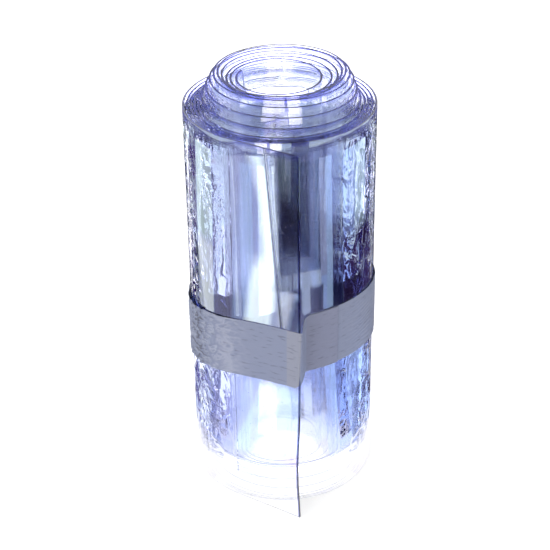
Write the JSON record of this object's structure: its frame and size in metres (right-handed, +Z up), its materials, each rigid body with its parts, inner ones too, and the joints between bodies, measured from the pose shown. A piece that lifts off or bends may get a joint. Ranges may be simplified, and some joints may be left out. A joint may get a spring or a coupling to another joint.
{
  "type": "pvc strip curtain roll",
  "caption": "Clear flexible PVC strip for a strip curtain, rolled up and stood on end, its core raised and its outer end left as a flap, held by a band of adhesive tape.",
  "frame": {"origin": "on the ground, under the middle of the roll's outline seen from above", "axes": "+Z up along the roll's axis; +X to the right and -Y towards the side where the flap ends"},
  "size_m": [0.1392, 0.159, 0.329],
  "materials": {
    "clear_pvc": "clear with a blue-violet tint, glossy",
    "grey_tape": "dull grey film, faintly wrinkled"
  },
  "bodies": {
    "root": {"pvc_strip": "clear_pvc", "tape_band": "grey_tape"}
  },
  "joints": []
}
